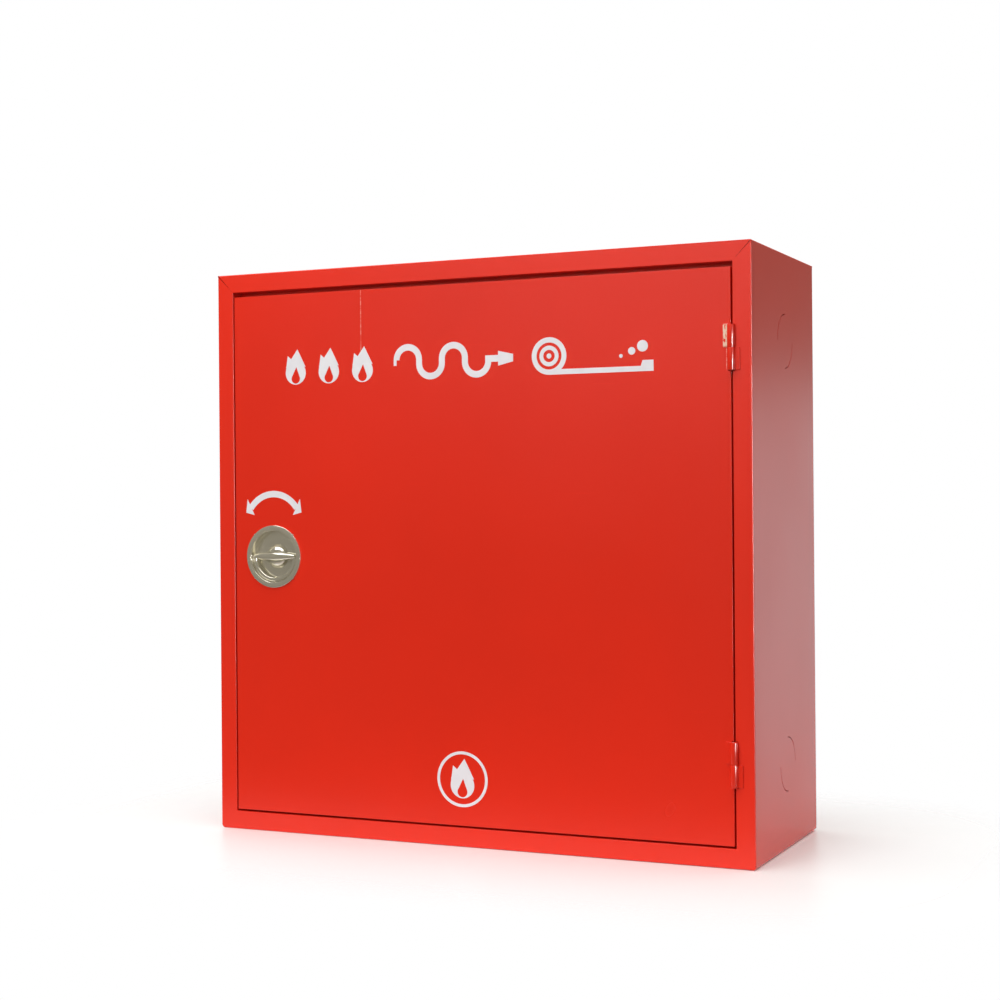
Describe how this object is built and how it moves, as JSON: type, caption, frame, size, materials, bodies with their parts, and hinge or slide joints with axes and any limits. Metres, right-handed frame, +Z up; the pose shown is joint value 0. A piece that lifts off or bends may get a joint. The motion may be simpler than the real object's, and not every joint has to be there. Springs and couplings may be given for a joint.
{
  "type": "fire hose reel cabinet",
  "caption": "Square red steel wall cabinet with a hinged front door on a flush ring latch, holding a fixed fire hose reel with its stop valve, feed pipe, hose and nozzle.",
  "frame": {"origin": "bottom centre of the whole part's box, on the surface that the cabinet stands on", "axes": "+X to the right as seen from the front, +Y back towards the wall, +Z up; the door faces -Y"},
  "size_m": [0.8, 0.308, 0.8],
  "materials": {
    "shell_paint": "semi-gloss signal red stoved paint, slight orange peel",
    "door_paint": "semi-gloss signal red stoved paint, slight orange peel",
    "printed_white": "matt white print",
    "latch_metal": "bright nickel plated, slightly warm",
    "zinc_steel": "bright zinc plated",
    "brass": "machined brass",
    "valve_metal": "satin nickel plated brass",
    "valve_chrome": "polished chrome ball",
    "lever_paint": "red vinyl dipped",
    "pipe_paint": "red paint on steel pipe",
    "reel_paint": "semi-gloss red stoved paint",
    "black_rubber": "soft black rubber",
    "hose_rubber": "smooth black rubber hose cover",
    "nozzle_plastic": "fine textured black plastic",
    "nozzle_collar_plastic": "fine textured red plastic"
  },
  "bodies": {
    "cabinet": {"body_shell": "shell_paint", "back_panel": "shell_paint", "door_bumpers": "black_rubber", "inlet_grommet": "black_rubber", "hinge_frame_leaf_upper": "door_paint", "hinge_frame_leaf_lower": "door_paint", "hinge_pin_upper": "zinc_steel", "hinge_pin_lower": "zinc_steel", "hinge_washers": "door_paint", "reel_bracket": "shell_paint", "bracket_bolts": "zinc_steel", "axle": "brass", "axle_nuts": "zinc_steel", "thrust_washer": "brass", "axle_o_rings": "black_rubber", "axle_elbow": "pipe_paint", "feed_pipe": "pipe_paint", "pipe_clamp": "zinc_steel", "valve_body": "valve_metal", "valve_packing_nut": "valve_metal"},
    "door": {"door_panel": "door_paint", "door_stiffener": "door_paint", "hinge_door_leaf_upper": "door_paint", "hinge_door_leaf_lower": "door_paint", "latch_dish": "latch_metal", "latch_clamp_ring": "zinc_steel", "latch_clamp_screws": "zinc_steel", "decal_band": "printed_white", "decal_arrow": "printed_white", "decal_badge": "printed_white"},
    "latch_spindle": {"latch_spindle": "latch_metal", "latch_washer": "zinc_steel", "latch_cam": "zinc_steel", "latch_nut": "zinc_steel"},
    "latch_ring": {"latch_ring_pull": "latch_metal"},
    "reel": {"reel_hub": "reel_paint", "hub_bushes": "brass", "reel_disc_front": "reel_paint", "reel_disc_rear": "reel_paint", "reel_drum": "reel_paint", "drum_tie_bolts": "zinc_steel", "drum_outlet_pipe": "brass", "hose_wound": "hose_rubber", "hose_tail": "hose_rubber", "hose_ferrule": "brass", "nozzle_clip": "zinc_steel", "nozzle_body": "nozzle_plastic"},
    "nozzle_collar": {"nozzle_collar": "nozzle_collar_plastic"},
    "valve_handle": {"valve_ball": "valve_chrome", "valve_lever": "lever_paint", "valve_lever_nut": "zinc_steel"}
  },
  "joints": [
    {"name": "door_swing", "type": "hinge", "parent": "cabinet", "child": "door", "pos_m": [0.37325, -0.149, 0.4], "axis": [0, 0, 1], "range_deg": [0, 170]},
    {"name": "latch_turn", "type": "hinge", "parent": "door", "child": "latch_spindle", "pos_m": [-0.3085, -0.126, 0.3935], "axis": [0, 1, 0], "range_deg": [0, 180]},
    {"name": "ring_fold", "type": "hinge", "parent": "latch_spindle", "child": "latch_ring", "pos_m": [-0.3085, -0.144, 0.3935], "axis": [-1, 0, 0], "range_deg": [0, 90]},
    {"name": "reel_spin", "type": "hinge", "parent": "cabinet", "child": "reel", "pos_m": [0, -0.003, 0.405], "axis": [0, 1, 0], "continuous": true},
    {"name": "nozzle_twist", "type": "hinge", "parent": "reel", "child": "nozzle_collar", "pos_m": [-0.055, -0.098, 0.215], "axis": [1, 0, 0], "range_deg": [0, 180]},
    {"name": "valve_turn", "type": "hinge", "parent": "cabinet", "child": "valve_handle", "pos_m": [-0.335, 0.008, 0.155], "axis": [0, 0, 1], "range_deg": [0, 90]}
  ]
}
